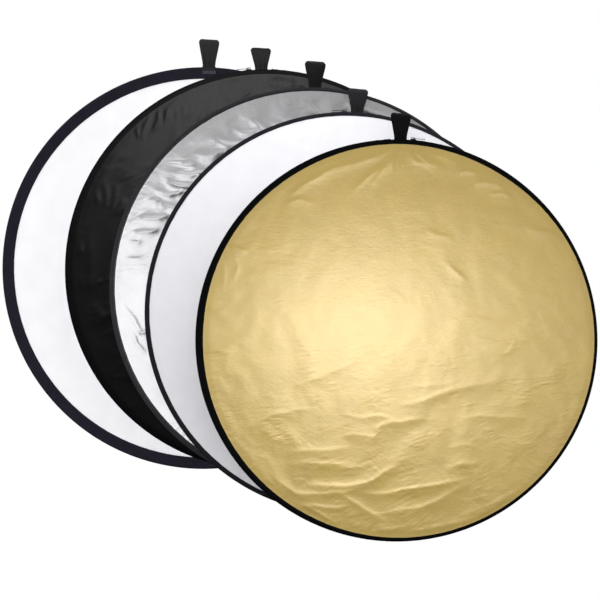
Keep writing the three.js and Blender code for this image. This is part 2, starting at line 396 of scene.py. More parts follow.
LACQUER = srgb(14, 14, 15)
MATERIALS = {
    "gold": coated_fabric("gold_coated_nylon", (0.62, 0.405, 0.012, 1), (0.56, 0.355, 0.009, 1),
                          metallic=0.25, rough=0.40, ior=2.2, coat=1.0, coat_ior=1.8),
    "silver": coated_fabric("silver_coated_nylon", (0.66, 0.66, 0.672, 1), (0.58, 0.58, 0.592, 1),
                            metallic=0.90, rough=0.30, ior=1.5, coat=0.0, coat_ior=1.5),
    "white": nylon("white_nylon", srgb(246, 246, 250), srgb(240, 240, 245),
                   rough=0.6, sheen=0.1, specular=0.3),
    "black": nylon("black_nylon", srgb(13, 13, 14), srgb(8, 8, 9),
                   rough=0.40, sheen=0.0, specular=0.10),
    "diffusion": diffusion("diffusion_silk", passing=0.38),
    "binding": webbing("edge_binding_tape", srgb(33, 31, 41), srgb(21, 20, 28),
                       rough=0.8, specular=0.06),
    "tape_black": webbing("rim_tape_black", srgb(10, 10, 11), srgb(3, 3, 4),
                          rough=0.8, specular=0.06),
    "tape_grey": webbing("rim_tape_grey", srgb(58, 58, 61), srgb(42, 42, 45),
                         rough=0.8, specular=0.12),
    "tape_navy": webbing("rim_tape_navy", srgb(36, 35, 42), srgb(22, 21, 28),
                         rough=0.8, specular=0.10),
    "strap": webbing("loop_webbing", srgb(27, 27, 30), srgb(13, 13, 15),
                     rough=0.7, specular=0.22),
    # the same loop webbing again, only darker, for the gold and black loops: painted shade
    "strap_dark": webbing("loop_webbing_dark", srgb(9, 9, 10), srgb(3, 3, 4),
                          rough=0.7, specular=0.12),
    "thread": nylon("sewing_thread", srgb(30, 29, 34), srgb(22, 21, 26),
                    rough=0.7, sheen=0.0, specular=0.15, pitch=0.4),
    "thread_pale": nylon("sewing_thread_pale", srgb(176, 176, 180), srgb(150, 150, 154),
                         rough=0.6, sheen=0.1, specular=0.3, pitch=0.4),
    "thread_light": nylon("sewing_thread_light", srgb(112, 110, 124), srgb(86, 84, 98),
                          rough=0.6, sheen=0.2, specular=0.4, pitch=0.4),
    "coil": plastic("zip_coil", LACQUER, rough=0.5),
    "slider": plastic("slider_lacquer", LACQUER, rough=0.55),
    "hoop": steel("spring_steel", (0.42, 0.43, 0.45, 1), rough=0.28),
    "sleeve": steel("crimp_sleeve", (0.52, 0.51, 0.48, 1), rough=0.36),
}


# ------------------------------------------------------------------ grids and rings
def quads(rows, columns, wrap_rows=False, wrap_columns=False):
    """Faces of a grid of points numbered row by row."""
    index = np.arange(rows * columns).reshape(rows, columns)
    if wrap_rows:
        index = np.vstack([index, index[:1]])
    if wrap_columns:
        index = np.hstack([index, index[:, :1]])
    corners = [index[:-1, :-1], index[1:, :-1], index[1:, 1:], index[:-1, 1:]]
    return np.stack(corners, -1).reshape(-1, 4)


def sweep(angle, radius, y, closed=True):
    """A tube round the disc, clockwise from the loop; radius and y are one profile or one each."""
    x = radius * np.sin(angle)[:, None]
    z = radius * np.cos(angle)[:, None]
    points = np.stack([x, np.broadcast_to(y, x.shape), z], -1)
    return points.reshape(-1, 3), quads(*x.shape, wrap_rows=closed, wrap_columns=True)


def turn(count):
    return np.linspace(0, 2 * np.pi, count, endpoint=False)


def mirrored(half):
    """A profile of (radius, y) points carried on through its last point to the other side."""
    half = np.asarray(half)
    return np.vstack([half, half[-2::-1] * [1, -1]])


# ------------------------------------------------------------------ rims
# width of the rim tape seen from the front (mm), every 30 degrees clockwise from the loop
TAPE_WIDTHS = {
    "gold": [9.4, 10.4, 7.2, 6.4, 6.6, 7.0, 8.2, 11.4, 13.9, 15.4, 12.8, 12.2],
    "white": [7.4, 7.0, 7.0, 7.0, 7.4, 8.0, 9.0, 9.8, 10.4, 9.8, 9.2, 8.6],
    "silver": [7.4, 7.2, 7.4, 8.0, 8.6, 9.2, 9.8, 10.6, 11.4, 11.2, 10.4, 9.2],
    "black": [9.0, 8.0, 8.0, 9.0, 10.0, 11.0, 12.5, 15.0, 17.0, 17.0, 13.5, 11.0],
}
# rim tape section, from the sewn edge over the rim and back inside:
# radius, y, share of a wider tape taken up, share of the puckering
TAPE_OUTSIDE = np.array([
    [390, 6.95, 1.0, 0.1], [390.15, 7.75, 0.98, 0.3], [390.7, 8.15, 0.85, 0.7],
    [392.2, 8.55, 0.55, 1], [394.2, 8.75, 0.2, 1], [396.2, 8.35, 0, 0.9], [397.9, 7.1, 0, 0.7],
    [398.9, 5.4, 0, 0.4], [399.25, 4.1, 0, 0.2], [399.2, 3.1, 0, 0.05], [398.9, 2.75, 0, 0]])
TAPE_INSIDE = np.array([
    [398.3, 2.95, 0, 0], [398.25, 4.1, 0, 0.2], [397.9, 5.2, 0, 0.4], [397.0, 6.45, 0, 0.7],
    [395.6, 7.35, 0, 0.9], [394.0, 7.75, 0.1, 1], [392.2, 7.7, 0.5, 1], [391.0, 7.35, 0.85, 0.5],
    [390.4, 6.95, 0.97, 0.1]])
TAPE_SEAM = 390        # radius of the section's sewn edge
# half sections of the bindings: radius, y
CORE_BINDING_OUTSIDE = [[372.3, 0.75], [372.4, 1.4], [380, 2.8], [388, 4.4], [393, 5.4],
                        [394.8, 4.6], [395.2, 0]]
CORE_BINDING_INSIDE = [[380, -2.0], [388, -3.6], [393, -4.6], [394.3, -3.8], [394.5, 0]]
EDGE_BINDING = np.array([
    [376.9, 0.75], [376.95, 1.25], [377.8, 1.7], [381, 2.2], [385, 2.95], [389, 3.9],
    [392.5, 4.85], [395, 5.5], [397.2, 5.65], [398.9, 4.9], [399.8, 3.4], [400.1, 1.6],
    [400.2, 0]])
# thickness of the edge binding between its two end points: across radius, across y
EDGE_BINDING_THICK = np.array([
    [-0.3, 0.5], [0.1, 0.8], [0, 0.8], [0, 0.8], [0.1, 0.8], [0.15, 0.8], [0.2, 0.8],
    [0.35, 0.75], [0.6, 0.5], [0.75, 0.3], [0.8, 0.1]])
# zip half section: radius, y, depth of the grooves between teeth
ZIP_SECTION = np.array([
    [397.0, 3.3, 0], [397.5, 3.3, 0], [397.6, 2.2, 0], [398.3, 2.05, 0.35],
    [399.1, 1.35, 0.55], [399.35, 0.35, 0.5], [398.9, 0.0, 0.3]])


def tape_inner(disc, angle):
    """Radius of the rim tape's inner edge."""
    widths = np.asarray(TAPE_WIDTHS[disc.name], float)
    place = (angle / (2 * np.pi) * 12) % 12
    i = np.floor(place).astype(int)
    width = catmull_rom(*(widths[(i + k) % 12] for k in (-1, 0, 1, 2)), place - i)
    return RIM - width - 0.5 * rim_noise(angle, 22, 3, disc.seed)


def rim_tape(disc, side):
    """The cover's edge tape: sewn down inside, rolled over the rim, ending at the zip."""
    angle = turn(720)
    from_loop = np.abs((angle + np.pi) % (2 * np.pi) - np.pi)
    lump = (0.9 * np.exp(-(((from_loop - 0.072) / 0.016) ** 2))
            + 0.5 * np.exp(-(((from_loop - 0.115) / 0.012) ** 2)))
    pucker = (0.45 * rim_noise(angle, 60, 1.5, disc.seed + 2)
              + 0.5 * rim_noise(angle, 17, 7.5, disc.seed + 3))
    radius, y, share, soft = np.vstack([TAPE_OUTSIDE, TAPE_INSIDE]).T
    radius = radius - (TAPE_SEAM - tape_inner(disc, angle))[:, None] * share
    y = y + pucker[:, None] * soft
    radius = radius + lump[:, None] * np.clip((radius - 394) / 4, 0, 1)
    return sweep(angle, radius, y * side)


def edge_binding():
    """Folded binding of the bare core over its hoop."""
    angle = turn(720)
    inside = EDGE_BINDING[1:-1] - EDGE_BINDING_THICK
    inside[:, 1] = np.clip(inside[:, 1], 0.45, 9)
    radius, y = np.vstack([mirrored(EDGE_BINDING),
                           mirrored(np.vstack([inside * [1, -1], [[399.35, 0]]]))]).T
    pucker = 0.25 * rim_noise(angle, 40, 4.5, 91)[:, None] * np.sign(y) * smooth(376, 384, radius)
    wander = (0.25 * rim_noise(angle, 26, 2.5, 92))[:, None] * (radius < 380)
    return sweep(angle, radius + wander, y + pucker)


def core_binding():
    """Binding round the hoop inside a cover."""
    radius, y = np.vstack([mirrored(CORE_BINDING_OUTSIDE), mirrored(CORE_BINDING_INSIDE)]).T
    return sweep(turn(240), radius, y)


def zip_ring():
    """Zip tape round the edge with the closed coil standing on it, open at the loop."""
    steps = 2500
    angle = np.linspace(ZIP_GAP, 2 * np.pi - ZIP_GAP, steps + 1)
    tooth = 0.5 + 0.5 * np.cos(np.arange(steps + 1) * 2 * np.pi / 3.0)
    radius, y = mirrored(ZIP_SECTION[:, :2]).T
    groove = np.concatenate([ZIP_SECTION[:, 2], ZIP_SECTION[-2::-1, 2]])
    points, faces = sweep(angle, radius - groove * (1 - tooth)[:, None], y, closed=False)
    start_cap = range(len(y))
    end_cap = [steps * len(y) + k for k in reversed(start_cap)]
    return points, faces.tolist() + [start_cap, end_cap]


# ------------------------------------------------------------------ stitches
def threads(placed, length, radius, end):
    """Short four-sided threads with ends narrowed by the factor end.

    placed lists the centre, the long direction and the direction across in the x-z plane."""
    points, faces = [], []
    tube = quads(4, 4, wrap_columns=True).tolist() + [[3, 2, 1, 0], [12, 13, 14, 15]]
    for center, along, across in np.asarray(placed, float):
        faces += [[len(points) + i for i in face] for face in tube]
        for reach, size in ((-0.5, end), (-0.28, 1.0), (0.28, 1.0), (0.5, end)):
            for m in range(4):
                around = 2 * np.pi * m / 4 + np.pi / 4
                points.append(center + along * length * reach
                              + across * radius * size * math.cos(around)
                              + np.array([0, radius * size * math.sin(around), 0]))
    return np.array(points), faces


def stitch_angles(pitch):
    count = int(2 * np.pi * 390 / pitch)
    return 2 * np.pi * np.arange(count) / count


def stitches(angles, radius, y, length, thread_radius):
    """A row of stitches round the disc."""
    placed = []
    for angle, r, height in np.broadcast(angles, radius, y):
        sine, cosine = math.sin(angle), math.cos(angle)
        placed.append([[sine * r, height, cosine * r], [cosine, 0, -sine], [sine, 0, cosine]])
    return threads(placed, length, thread_radius, end=0.35)


# ------------------------------------------------------------------ sheets
def disc_grid(cells):
    """Square grid mapped to the unit disc with even cells, and its boundary in order."""
    line = np.linspace(-1, 1, cells + 1)
    a, b = np.meshgrid(line, line, indexing="ij")
    wide = np.abs(a) > np.abs(b)
    with np.errstate(divide="ignore", invalid="ignore"):
        radius = np.where(wide, a, b)
        angle = np.where(wide, np.pi / 4 * np.where(a != 0, b / a, 0),
                         np.pi / 2 - np.pi / 4 * np.where(b != 0, a / b, 0))
    x, z = radius * np.cos(angle), radius * np.sin(angle)
    index = np.arange((cells + 1) ** 2).reshape(cells + 1, cells + 1)
    edge = np.concatenate([index[:-1, 0], index[-1, :-1], index[:0:-1, -1], index[0, :0:-1]])
    return x.ravel(), z.ravel(), quads(cells + 1, cells + 1), edge


def sheet(name, disc, cells, radius, y, height, side, material, slot, replaces,
          thick=0.35, under_cells=60):
    """Closed thin cloth sheet. side -1 faces the front; height(x, z) stands proud that way.

    The hidden under face is coarser, and keeps below the lowest point of the folds over it."""
    x, z, top_faces, edge = disc_grid(cells)
    x, z = x * radius, z * radius
    rise = height(x, z)
    ratio = cells // under_cells
    under_x, under_z, under_faces, under_edge = disc_grid(under_cells)
    grid = rise.reshape(cells + 1, cells + 1)
    at = np.arange(under_cells + 1) * ratio
    low = np.full((under_cells + 1, under_cells + 1), 1e9)
    for i in range(-ratio, ratio + 1):
        for j in range(-ratio, ratio + 1):
            rows, columns = np.clip(at + i, 0, cells), np.clip(at + j, 0, cells)
            low = np.minimum(low, grid[np.ix_(rows, columns)])
    top = np.stack([x, side * (y + rise), z], -1)
    under = np.stack([under_x * radius, side * (y + low.ravel() - thick), under_z * radius], -1)
    walls = []
    middle = ratio // 2
    for s in range(len(under_edge)):
        fine = [edge[(s * ratio + m) % len(edge)] for m in range(ratio + 1)]
        first = under_edge[s] + len(x)
        second = under_edge[(s + 1) % len(under_edge)] + len(x)
        walls += [(fine[m], fine[m + 1], first) for m in range(middle)]
        walls.append((fine[middle], second, first))
        walls += [(fine[m], fine[m + 1], second) for m in range(middle, ratio)]
    faces = [*map(tuple, top_faces), *map(tuple, under_faces[:, ::-1] + len(x))]
    faces += [wall[::-1] for wall in walls]
    if side > 0:
        faces = [face[::-1] for face in faces]
    return make(name, disc, np.vstack([top, under]), faces, material, slot, replaces,
                outward=False)


# Folds, in mm in the disc's frame: width, height, points (x, z).
GOLD_FOLDS = [
    # spreading from the foot of the loop
    (7, 1.5, (2, 383), (-28, 352), (-62, 322), (-92, 300)),
    (7, 1.3, (-4, 384), (-46, 366), (-92, 352), (-118, 340)),
    (8, 1.7, (-98, 350), (-130, 340), (-164, 322), (-200, 300), (-214, 286)),
    (6, 1.2, (-118, 360), (-150, 348), (-170, 344)),
    (6, 0.9, (-6, 372), (-40, 330), (-58, 300)),
    (6, 1.1, (12, 380), (26, 360), (44, 352)),
    (7, 1.5, (30, 376), (54, 356), (84, 348)),
    (6, 1.2, (70, 372), (98, 362), (118, 354)),
    (5, 1.3, (116, 334), (134, 340), (158, 336)),
    (6, 1.4, (148, 312), (170, 318), (196, 314), (214, 300)),
    (5, 1.1, (180, 292), (206, 298), (222, 292)),
    (6, 0.9, (-222, 268), (-196, 276), (-170, 270)),
    # left edge
    (5, 0.9, (-338, 190), (-322, 176), (-300, 168)),
    (5, 0.4, (-348, 150), (-344, 120), (-346, 92)),
    (5, 0.3, (-326, 172), (-318, 140), (-324, 110)),
    (5, 0.8, (-372, 60), (-352, 52), (-340, 54)),
    (5, 0.8, (-372, -20), (-350, -26), (-330, -22)),
    # middle
    (6, 0.8, (96, 156), (116, 140), (138, 122)),
    (7, 0.6, (54, 222), (78, 212), (104, 206)),
    (8, 0.8, (252, 226), (288, 222), (322, 210)),
    (6, 0.8, (100, 40), (140, 48), (186, 44), (220, 52)),
    (6, 0.8, (150, 10), (200, 2), (260, 8), (300, 0)),
    # lower half
    (7, 1.2, (-200, -94), (-150, -74), (-106, -52), (-84, -44)),
    (7, 1.1, (-294, -182), (-252, -156), (-206, -144), (-170, -140)),
    (6, 1.1, (-102, -148), (-66, -154), (-30, -150), (10, -162)),
    (6, 1.3, (-108, -192), (-70, -188), (-40, -190), (-24, -166), (30, -156), (74, -152)),
    (7, 1.4, (10, -128), (54, -118), (92, -102), (130, -90), (214, -72)),
    (6, 0.9, (30, -90), (80, -86), (124, -76)),
    (6, 1.0, (126, -150), (186, -146), (260, -148)),
    (9, 1.4, (-216, -226), (-150, -220), (-84, -212)),
    (8, 1.3, (-220, -248), (-150, -246), (-64, -252)),
    (7, 2.0, (-176, -290), (-120, -290), (-56, -284), (-18, -262), (10, -246)),
    (7, 1.6, (-240, -270), (-206, -300), (-176, -308), (-110, -304), (-60, -292)),
    (7, 2.0, (-68, -304), (-20, -304), (60, -288), (150, -272)),
    (7, 1.7, (-106, -304), (-66, -330), (-40, -344), (-24, -354)),
    (8, 1.6, (-40, -346), (60, -328), (114, -300), (150, -280)),
    (6, 1.8, (-172, -330), (-130, -356), (-106, -372)),
    (6, 1.7, (-196, -334), (-160, -330), (-110, -334), (-84, -330)),
    (5, 2.6, (-204, -336), (-192, -342), (-178, -338)),
    (6, 1.8, (-286, -262), (-262, -278), (-238, -290)),
    (5, 1.6, (-250, -306), (-226, -316), (-206, -322)),
    (9, 1.5, (30, -382), (96, -366), (150, -354), (226, -312), (290, -272)),
    (7, 1.2, (140, -344), (200, -318), (250, -290)),
    (7, 1.3, (-30, -380), (10, -372), (50, -360)),
    (6, 0.9, (100, -250), (140, -240), (170, -240)),
    (6, 0.9, (110, -210), (140, -204), (170, -212)),
    (5, 1.0, (170, -10), (216, -20), (236, 6)),
]
SILVER_FOLDS = [
    # large folds across the upper left, from the top down to the left edge
    (5.5, 2.0, (-160, 314), (-134, 306), (-100, 312), (-74, 302)),
    (7.5, 3.0, (-196, 292), (-170, 280), (-140, 284), (-104, 296), (-84, 290)),
    (4.5, 1.7, (-128, 334), (-108, 318), (-88, 306)),
    (5, 1.5, (-84, 330), (-58, 322), (-30, 326)),
    (4.5, 1.3, (-62, 340), (-44, 326), (-20, 318)),
    (4.5, 1.4, (-80, 300), (-56, 306), (-28, 300), (0, 306)),
    (7, 1.1, (-236, 264), (-206, 260), (-182, 268), (-158, 262)),
    (5, 1.9, (-166, 262), (-146, 250), (-120, 252), (-96, 246)),
    (4, 1.5, (-150, 240), (-128, 244), (-108, 238)),
    (4.5, 1.4, (-262, 244), (-246, 240), (-232, 242)),
    (6.5, 2.4, (-274, 226), (-250, 218), (-226, 224), (-204, 230)),
    (5, 1.9, (-232, 226), (-214, 214), (-196, 212), (-176, 220)),
    (4, 1.5, (-204, 240), (-190, 226), (-174, 216)),
    (6.5, 2.5, (-288, 212), (-268, 200), (-240, 196), (-210, 198)),
    (4.5, 1.5, (-222, 208), (-206, 200), (-188, 204)),
    (4.5, 1.7, (-308, 188), (-286, 180), (-258, 186)),
    (4, 1.1, (-322, 168), (-312, 166), (-300, 170)),
    (5.5, 2.0, (-300, 164), (-278, 152), (-250, 148), (-232, 152)),
    (4.5, 1.7, (-340, 136), (-312, 132), (-284, 138)),
    (4.5, 1.8, (-354, 104), (-328, 104), (-304, 110)),
    (3.5, 1.0, (-362, 84), (-348, 82), (-336, 85)),
    (3.5, 0.8, (-366, 52), (-348, 50), (-332, 54)),
    # quiet lower left
    (4, 0.9, (-372, -40), (-344, -76), (-322, -112)),
    (3.5, 1.8, (-340, -96), (-318, -92), (-300, -96)),
    (4, 1.0, (-352, -92), (-340, -118), (-322, -136)),
    (4, 1.1, (-318, -148), (-300, -140), (-280, -150)),
    (4, 1.0, (-296, -176), (-284, -186), (-262, -190)),
    # by the loop
    (5, 1.1, (-14, 366), (6, 350), (30, 336)),
    (7, 1.0, (60, 372), (120, 352), (180, 330)),
]
BLACK_FOLDS = [
    (8, 1.6, (-352, -40), (-346, 20), (-350, 80)),
    (9, 1.4, (-318, -60), (-310, 10), (-296, 70)),
    (9, 1.2, (-290, 40), (-276, 110), (-262, 150)),
    (9, 1.3, (-170, 300), (-176, 260), (-190, 226)),
    (7, 1.5, (-340, -110), (-318, -84), (-290, -76)),
    (7, 1.4, (-352, -60), (-330, -76), (-316, -100)),
    (6, 1.2, (-60, 380), (-66, 352), (-60, 330)),
    (6, 1.3, (-24, 384), (-28, 360), (-22, 342)),
    (6, 1.2, (22, 386), (26, 362), (20, 346)),
    (6, 1.1, (52, 384), (60, 356), (56, 338)),
]


# ------------------------------------------------------------------ fold shapes
def ripples(x, z, angle, length, width, seed, sharp):
    """Short creases along `angle` (degrees from +x), each about length by width (mm)."""
    angle = math.radians(angle)
    bent_x = x + 9 * noise(x / 60, z / 60, seed + 50)
    bent_z = z + 9 * noise(x / 60, z / 60, seed + 51)
    along = (bent_x * math.cos(angle) + bent_z * math.sin(angle)) / length
    across = (-bent_x * math.sin(angle) + bent_z * math.cos(angle)) / width
    ridge = np.clip(1 - np.abs(noise(along, across, seed)) * 2.6, 0, 1) ** sharp
    return ridge * smooth(0.0, 0.35, noise(x / 70 + 5, z / 55, seed + 9))


def add_ripples(rise, x, z, *sets):
    """Each set is its height, then the angle, length, width, seed and sharpness of ripples."""
    for height, *shape in sets:
        rise += height * ripples(x, z, *shape)


def crease(rise, x, z, points, width, height, spread):
    """Adds a fold along points: steep above (about width mm), spread times wider below."""
    line = curve(points, 5)
    if line[-1, 0] < line[0, 0]:
        line = line[::-1]
    reach = 3.2 * width * spread
    (left, bottom), (right, top) = line.min(0) - reach, line.max(0) + reach
    near = np.where((x > left) & (x < right) & (z > bottom) & (z < top))[0]
    if not len(near):
        return
    ends = distances(line)
    nearest = np.full(near.shape, 1e9)
    side, along = np.zeros((2, len(near)))
    for i, (step_x, step_z) in enumerate(np.diff(line, axis=0)):
        length = np.hypot(step_x, step_z)
        from_x, from_z = x[near] - line[i, 0], z[near] - line[i, 1]
        t = np.clip((from_x * step_x + from_z * step_z) / (length**2 + 1e-9), 0, 1)
        off_x, off_z = from_x - t * step_x, from_z - t * step_z
        squared = off_x * off_x + off_z * off_z
        closer = squared < nearest
        nearest = np.where(closer, squared, nearest)
        sign = np.sign(step_x * from_z - step_z * from_x)
        side = np.where(closer, sign * np.sqrt(squared), side)
        along = np.where(closer, (ends[i] + t * length) / ends[-1], along)
    fade = np.sin(np.pi * np.clip(along, 0.015, 0.985)) ** 0.6
    above = np.exp(-(np.clip(side, 0, None) / width) ** 1.5)
    below = np.exp(-(np.clip(-side, 0, None) / (spread * width)) ** 1.4)
    rise[near] += height * fade * above * below


def add_folds(rise, x, z, folds, seed, upper, lower=None, split=-math.inf, least=0):
    """Adds folds along wandering lines, so that none runs like a drawn line.

    upper and lower give a width factor, a height factor and the spread of the folds that
    start above or below z = split; least is the smallest width."""
    wander_x = x + 5 * noise(x / 38, z / 38, seed) + 1.3 * noise(x / 9, z / 9, seed + 3)
    wander_z = z + 4 * noise(x / 38, z / 38, seed + 1) + 1.3 * noise(x / 9, z / 9, seed + 4)
    for width, height, *points in folds:
        by_width, by_height, spread = upper if points[0][1] > split else lower
        crease(rise, wander_x, wander_z, points, max(width * by_width, least),
               height * by_height, spread)


def rim_gap(disc, x, z):
    """Distance in from the rim tape, and angle clockwise from the loop."""
    angle = np.arctan2(x, z)
    return tape_inner(disc, angle) - np.hypot(x, z), angle


def gathers(angle, gap, seed, height, reach):
    """Small puckers where the cloth is gathered into the rim."""
    pucker = (noise(angle * 46, gap / 60, seed + 30)
              + 0.6 * noise(angle * 95, gap / 40, seed + 31))
    return height * pucker * np.exp(-np.clip(gap, 0, None) / reach) * smooth(-2, 3, gap)


def settle(disc, rise, gap, angle, base, dome, gather, reach):
    """Lifts the folds by base and dome, and lets them die out into gathers at the stitches."""
    return ((base + dome * smooth(0, 120, gap) + rise) * smooth(-1.0, 14.0, gap)
            + gathers(angle, gap, disc.seed, gather, reach))


def fan(x, z, seed, height):
    """Creases running out from the foot of the loop, where the cloth is gathered under it."""
    drop = 392.0 - z
    away = np.hypot(x, drop)
    angle = np.arctan2(x, np.maximum(drop, 1e-3))
    lines = (noise(angle * 7.5 + 20, away / 120 + 3, seed)
             + 0.55 * noise(angle * 15 + 40, away / 70 + 5, seed + 1))
    ridge = 1 - np.clip(np.abs(lines) * 3.4, 0, 1)
    near = np.exp(-((away / 58.0) ** 1.5)) * smooth(3, 22, away)
    patchy = np.clip(0.45 + 1.3 * noise(x / 34, z / 30, seed + 2), 0, 1)
    return height * ridge**1.3 * near * patchy * smooth(-4, 30, drop)


def bounded(rise, least, most):
    """Holds heights softly between -least and most."""
    return np.where(rise > 0, most * np.tanh(rise / most), -least * np.tanh(-rise / least))


# ------------------------------------------------------------------ cloth run
def spline_weights(t):
    """Cubic B-spline weights of four neighbouring samples."""
    return ((1 - t) ** 3 / 6, (3 * t**3 - 6 * t**2 + 4) / 6,
            (-3 * t**3 + 3 * t**2 + 3 * t + 1) / 6, t**3 / 6)


def buckled(cells, start, growth, most, bend, mass, quality):
    """Cloth solver run on a sheet a little too large for its hoop.

    start(x, z) gives the folds it is let go from (mm), growth(x, z) from 0 to 1 says where the
    spare cloth is, most is the largest spare length as a fraction. The rim is held. Returns a
    function giving the buckled height in mm, without most of the sheet's broad bulge."""
    line = np.linspace(-CLOTH_HALF, CLOTH_HALF, cells + 1)
    x, z = (side.ravel() for side in np.meshgrid(line, line, indexing="ij"))
    radius = np.hypot(x, z)
    held = CLOTH_HALF * 0.985
    y = start(x, z) * np.clip((held - radius) / 20, 0, 1)
    faces = quads(cells + 1, cells + 1)
    faces = faces[(radius < CLOTH_HALF + 12)[faces].all(1)]
    used = np.unique(faces)
    renumbered = -np.ones(len(x), int)
    renumbered[used] = np.arange(len(used))
    mesh = bpy.data.meshes.new("cloth_run")
    # built face by face, so that the order of its springs doesn't depend on the number of cores
    bm = bmesh.new()
    verts = [bm.verts.new(tuple(p)) for p in np.stack([x, y, z], -1)[used] * MM]
    for face in renumbered[faces]:
        bm.faces.new([verts[i] for i in face])
    bm.to_mesh(mesh)
    bm.free()
    cloth = bpy.data.objects.new("cloth_run", mesh)
    bpy.context.scene.collection.objects.link(cloth)
    pin = cloth.vertex_groups.new(name="pin")
    pin.add([int(i) for i in np.where(radius[used] > held)[0]], 1.0, "REPLACE")
    # weight 0 takes the whole growth, weight 1 none
    level = np.round((1 - np.clip(growth(x, z), 0, 1))[used] * 40) / 40
    grow = cloth.vertex_groups.new(name="grow")
    for weight in np.unique(level):
        grow.add([int(i) for i in np.where(level == weight)[0]], float(weight), "REPLACE")
    solver = cloth.modifiers.new("cloth", "CLOTH")
    for key, value in dict(
            quality=quality, mass=mass, bending_stiffness=bend,
            tension_stiffness=15.0, compression_stiffness=15.0, shear_stiffness=6.0,
            tension_damping=0.4, compression_damping=0.4, shear_damping=0.4,
            bending_damping=0.05, air_damping=0.3,
            vertex_group_mass="pin", pin_stiffness=1.0,
            vertex_group_shrink="grow", shrink_min=-most, shrink_max=0.0).items():
        setattr(solver.settings, key, value)
    solver.settings.effector_weights.gravity = 0
    solver.collision_settings.use_collision = False
    solver.collision_settings.use_self_collision = False
    solver.point_cache.frame_start, solver.point_cache.frame_end = 1, CLOTH_FRAMES
    scene = bpy.context.scene
    frame_before = scene.frame_current
    for i in range(1, CLOTH_FRAMES + 1):
        scene.frame_set(i)
    solved = cloth.evaluated_get(bpy.context.evaluated_depsgraph_get()).data.vertices
    places = np.zeros(len(used) * 3, np.float32)
    solved.foreach_get("co", places)
    grid = np.zeros(len(x))
    grid[used] = places.reshape(-1, 3)[:, 1] / MM
    bpy.data.objects.remove(cloth)
    bpy.data.meshes.remove(mesh)
    scene.frame_set(frame_before)
    grid = grid.reshape(cells + 1, cells + 1)
    bulge = grid.copy()
    for _ in range(90):
        bulge = (bulge + np.roll(bulge, 1, 0) + np.roll(bulge, -1, 0)
                 + np.roll(bulge, 1, 1) + np.roll(bulge, -1, 1)) / 5
    grid = grid - 0.7 * bulge

    def height(x, z):
        x, z = ((side + CLOTH_HALF) / (2 * CLOTH_HALF) * cells for side in (x, z))
        i, j = np.floor(x).astype(int), np.floor(z).astype(int)
        weights_x, weights_z = spline_weights(x - i), spline_weights(z - j)
        total = np.zeros(x.shape)
        for a in range(4):
            for b in range(4):
                sample = grid[np.clip(i + a - 1, 0, cells), np.clip(j + b - 1, 0, cells)]
                total += weights_x[a] * weights_z[b] * sample
        return total
    return height


# ------------------------------------------------------------------ cover heights
def start_folds(folds, seed, fold_height, ripple_height, ripple):
    """The shape a cloth run is let go from."""
    def start(x, z):
        rise = np.zeros(x.shape)
        add_folds(rise, x, z, folds, seed, upper=(1, fold_height, 2.0), least=5)
        return rise + ripple_height * ripples(x, z, *ripple) + 0.12 * noise(x / 7, z / 7, 77)
    return start


def gold_height(disc):
    start = start_folds(GOLD_FOLDS, 201, fold_height=0.5, ripple_height=0.25,
                        ripple=(10, 60, 11, 210, 2.0))
    buckle = buckled(
        130, start,
        lambda x, z: 0.22 + 0.78 * smooth(60, -220, z) + 0.35 * smooth(-200, -340, x),
        most=0.0015, bend=0.1, mass=0.05, quality=12)

    def height(x, z):
        gap, angle = rim_gap(disc, x, z)
        rise = bounded(0.52 * buckle(x, z) * (0.35 + 0.65 * smooth(4, 34, gap)), 2.5, 4.0)
        add_folds(rise, x, z, GOLD_FOLDS, 201, upper=(0.55, 1.0, 2.0), lower=(0.40, 0.50, 3.0),
                  split=140)
        lower = smooth(120, -120, z)
        bottom = smooth(-130, -280, z)
        right = smooth(40, 160, x) * smooth(-220, -40, z) * smooth(140, 40, z)
        add_ripples(rise, x, z,
                    ((0.30 + 0.70 * lower) * 0.38, 8, 50, 6.5, 210, 2.5),
                    ((0.20 + 0.65 * lower) * 0.30, 24, 44, 6.5, 220, 2.4),
                    ((0.10 + 0.45 * lower) * 0.24, -34, 36, 7, 225, 2.4),
                    (0.26 * right, 2, 52, 6.5, 240, 2.4),
                    (0.40 * bottom, 30, 80, 8, 250, 2.5),
                    (0.30 * bottom, -42, 64, 8, 255, 2.5))
        rise += 0.06 * layered(x / 24, z / 14, 265, 3) + fan(x, z, 270, 1.9)
        return settle(disc, rise, gap, angle, base=0.6, dome=1.0, gather=0.8, reach=10)
    return height


def silver_height(disc):
    start = start_folds(SILVER_FOLDS, 301, fold_height=0.7, ripple_height=0.30,
                        ripple=(-6, 44, 12, 310, 2.0))
    buckle = buckled(110, start, lambda x, z: 0.25 + 0.75 * smooth(20, 150, z),
                     most=0.015, bend=0.5, mass=0.01, quality=5)

    def height(x, z):
        gap, angle = rim_gap(disc, x, z)
        upper = smooth(-60, 130, z)
        rise = bounded(buckle(x, z) * (0.30 + 0.70 * smooth(4, 34, gap)) * (0.20 + 0.34 * upper),
                       3.0, 4.5)
        add_folds(rise, x, z, SILVER_FOLDS, 301, upper=(0.56, 2.15, 2.3), lower=(0.56, 1.5, 2.3),
                  split=120)
        add_ripples(rise, x, z,
                    ((0.15 + 0.85 * upper) * 0.62, 6, 44, 8, 310, 2.2),
                    ((0.10 + 0.60 * upper) * 0.42, 30, 34, 7, 320, 2.2))
        rise += 0.06 * layered(x / 24, z / 18, 365, 3)
        return settle(disc, rise, gap, angle, base=0.8, dome=1.2, gather=0.8, reach=10)
    return height


